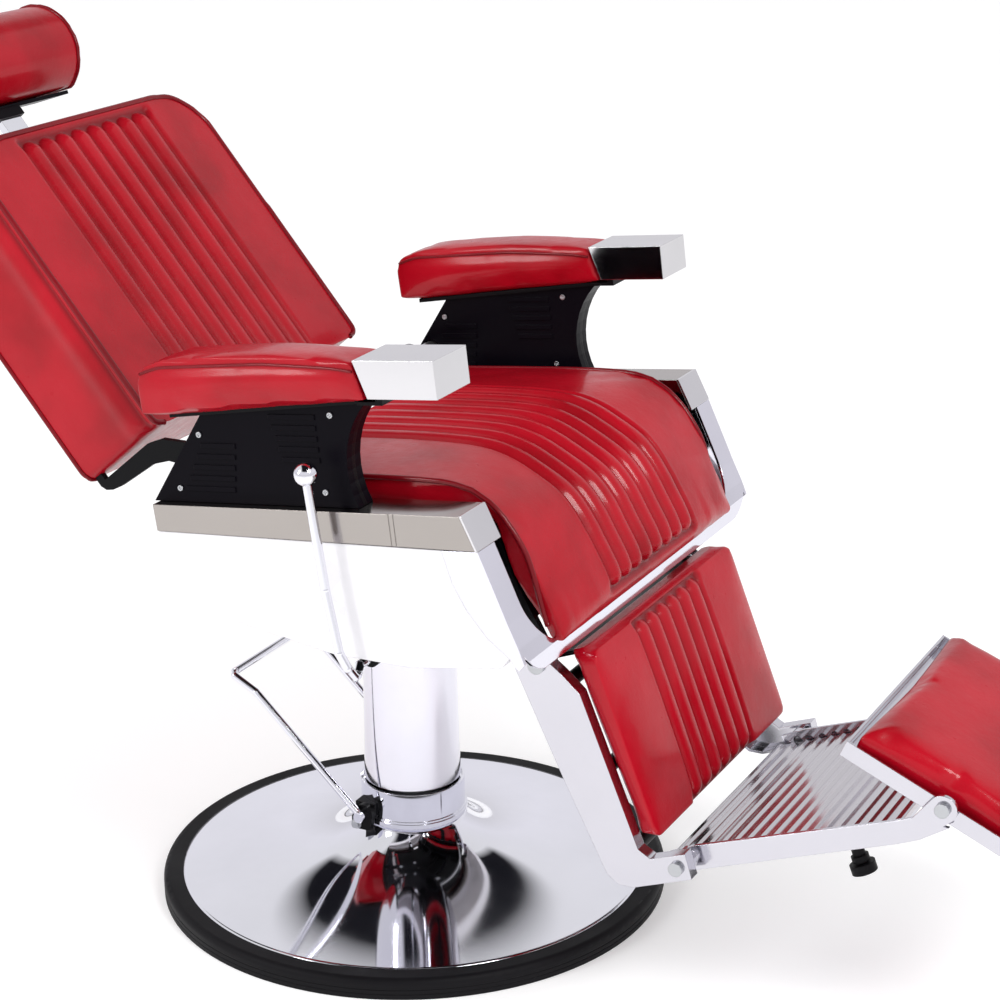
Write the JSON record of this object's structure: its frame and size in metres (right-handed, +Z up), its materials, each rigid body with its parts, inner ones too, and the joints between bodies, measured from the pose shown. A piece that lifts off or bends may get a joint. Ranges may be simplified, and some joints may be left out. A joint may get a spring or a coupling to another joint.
{
  "type": "hydraulic barber chair",
  "caption": "Reclining hydraulic barber chair with fluted cushions, boxed arms, sliding headrest, swinging leg rest, flip-over foot pad and a round pump base.",
  "frame": {"origin": "centre of the base's underside, on the floor", "axes": "+X the way the sitter faces, +Y the sitter's left, +Z up"},
  "size_m": [1.5746, 0.694, 1.0892],
  "materials": {
    "red_leather": "glossy PU leather",
    "chrome": "polished",
    "black_plastic": "satin moulded",
    "black_paint": "powder coat",
    "white_shell": "gloss moulded",
    "black_rubber": "satin rubber",
    "steel": "zinc plated",
    "bronze": "sintered bronze",
    "plywood": "sanded birch plywood",
    "aluminium": "polished ribbed"
  },
  "bodies": {
    "base": {"base_plate": "steel", "base_shell": "chrome", "rubber_ring": "black_rubber", "pump_cylinder": "steel", "pump_collar": "chrome", "ram_bush": "bronze", "oil_plunger": "steel", "pedal_bracket": "black_paint", "bracket_bolts": "steel"},
    "pedal": {"pump_pedal": "chrome"},
    "ram": {"ram_rod": "chrome", "ram_piston": "steel"},
    "seat": {"swivel_hub": "black_paint", "column_shroud": "chrome", "hub_bolts": "steel", "seat_frame": "black_paint", "seat_board": "black_paint", "seat_cushion": "red_leather", "side_shell_right": "white_shell", "side_shell_left": "white_shell", "side_rail_right": "chrome", "side_rail_left": "chrome", "rail_caps": "chrome", "front_apron": "chrome", "arm_frame_right": "black_paint", "arm_frame_left": "black_paint", "outer_cover_right": "black_plastic", "outer_cover_left": "black_plastic", "inner_cover_right": "black_plastic", "inner_cover_left": "black_plastic", "cover_screws": "steel", "arm_pad_right": "red_leather", "arm_pad_left": "red_leather", "arm_tip_right": "chrome", "arm_tip_left": "chrome", "leg_hinge_bolts": "steel"},
    "lever": {"recline_lever": "chrome", "lever_knob": "chrome"},
    "back": {"recline_shaft": "steel", "back_brackets": "black_paint", "back_board": "plywood", "back_cushion": "red_leather", "back_panel": "red_leather", "headrest_socket": "chrome"},
    "headrest": {"headrest_post": "chrome", "headrest_plate": "black_plastic", "headrest_roll": "red_leather"},
    "gas_body": {"gas_cylinder": "black_paint"},
    "gas_piston": {"gas_rod": "chrome"},
    "link": {"leg_link": "steel"},
    "leg": {"leg_plate_right": "chrome", "leg_plate_left": "chrome", "leg_crossbars": "black_paint", "calf_board": "plywood", "calf_cushion": "red_leather", "foot_bolts": "steel"},
    "foot": {"foot_frame": "chrome", "foot_tread": "aluminium", "floor_stop": "black_rubber", "flip_bolts": "steel"},
    "flip": {"flip_tray": "chrome", "flip_pad": "red_leather"}
  },
  "joints": [
    {"name": "pedal_press", "type": "hinge", "parent": "base", "child": "pedal", "pos_m": [-0.03, 0, 0.112], "axis": [0, -1, 0], "range_deg": [0, 36], "stiffness_Nm_per_rad": 8, "springref_deg": -20.05},
    {"name": "seat_lift", "type": "slide", "parent": "base", "child": "ram", "axis": [0, 0, 1], "range_m": [0, 0.15]},
    {"name": "seat_swivel", "type": "hinge", "parent": "ram", "child": "seat", "pos_m": [0, 0, 0.4], "axis": [0, 0, 1], "continuous": true},
    {"name": "back_recline", "type": "hinge", "parent": "seat", "child": "back", "pos_m": [-0.11554, 0, 0.63528], "axis": [0, -1, 0], "range_deg": [-28, 8]},
    {"name": "leg_lift", "type": "hinge", "parent": "seat", "child": "leg", "pos_m": [0.28996, 0, 0.42919], "axis": [0, -1, 0], "range_deg": [-28, 8]},
    {"name": "link_turn", "type": "hinge", "parent": "back", "child": "link", "pos_m": [-0.09711, 0, 0.54276], "axis": [0, -1, 0], "range_deg": [-8, 28]},
    {"name": "gas_rod_turn", "type": "hinge", "parent": "back", "child": "gas_piston", "pos_m": [-0.10495, 0, 0.54087], "axis": [0, -1, 0], "range_deg": [-9, 28]},
    {"name": "gas_body_turn", "type": "hinge", "parent": "seat", "child": "gas_body", "pos_m": [0.17529, 0, 0.5723], "axis": [0, -1, 0], "range_deg": [-2, 2]},
    {"name": "headrest_slide", "type": "slide", "parent": "back", "child": "headrest", "axis": [-0.6388, 0, 0.7694], "range_m": [-0.02, 0.08]},
    {"name": "lever_pull", "type": "hinge", "parent": "seat", "child": "lever", "pos_m": [0.09384, 0, 0.41927], "axis": [0, -1, 0], "range_deg": [0, 14], "stiffness_Nm_per_rad": 2, "springref_deg": -34.38},
    {"name": "foot_fold", "type": "hinge", "parent": "leg", "child": "foot", "pos_m": [0.46629, 0, 0.20982], "axis": [0, -1, 0], "range_deg": [0, 40]},
    {"name": "pad_flip", "type": "hinge", "parent": "foot", "child": "flip", "pos_m": [0.76519, 0, 0.33526], "axis": [0, -1, 0], "range_deg": [-90, 15]}
  ],
  "couplings": [
    {"joint": "leg_lift", "follows": "back_recline", "ratio": 1},
    {"joint": "link_turn", "follows": "back_recline", "ratio": -1},
    {"joint": "gas_rod_turn", "follows": "back_recline", "ratio": -0.958},
    {"joint": "gas_body_turn", "follows": "back_recline", "ratio": 0.042}
  ]
}
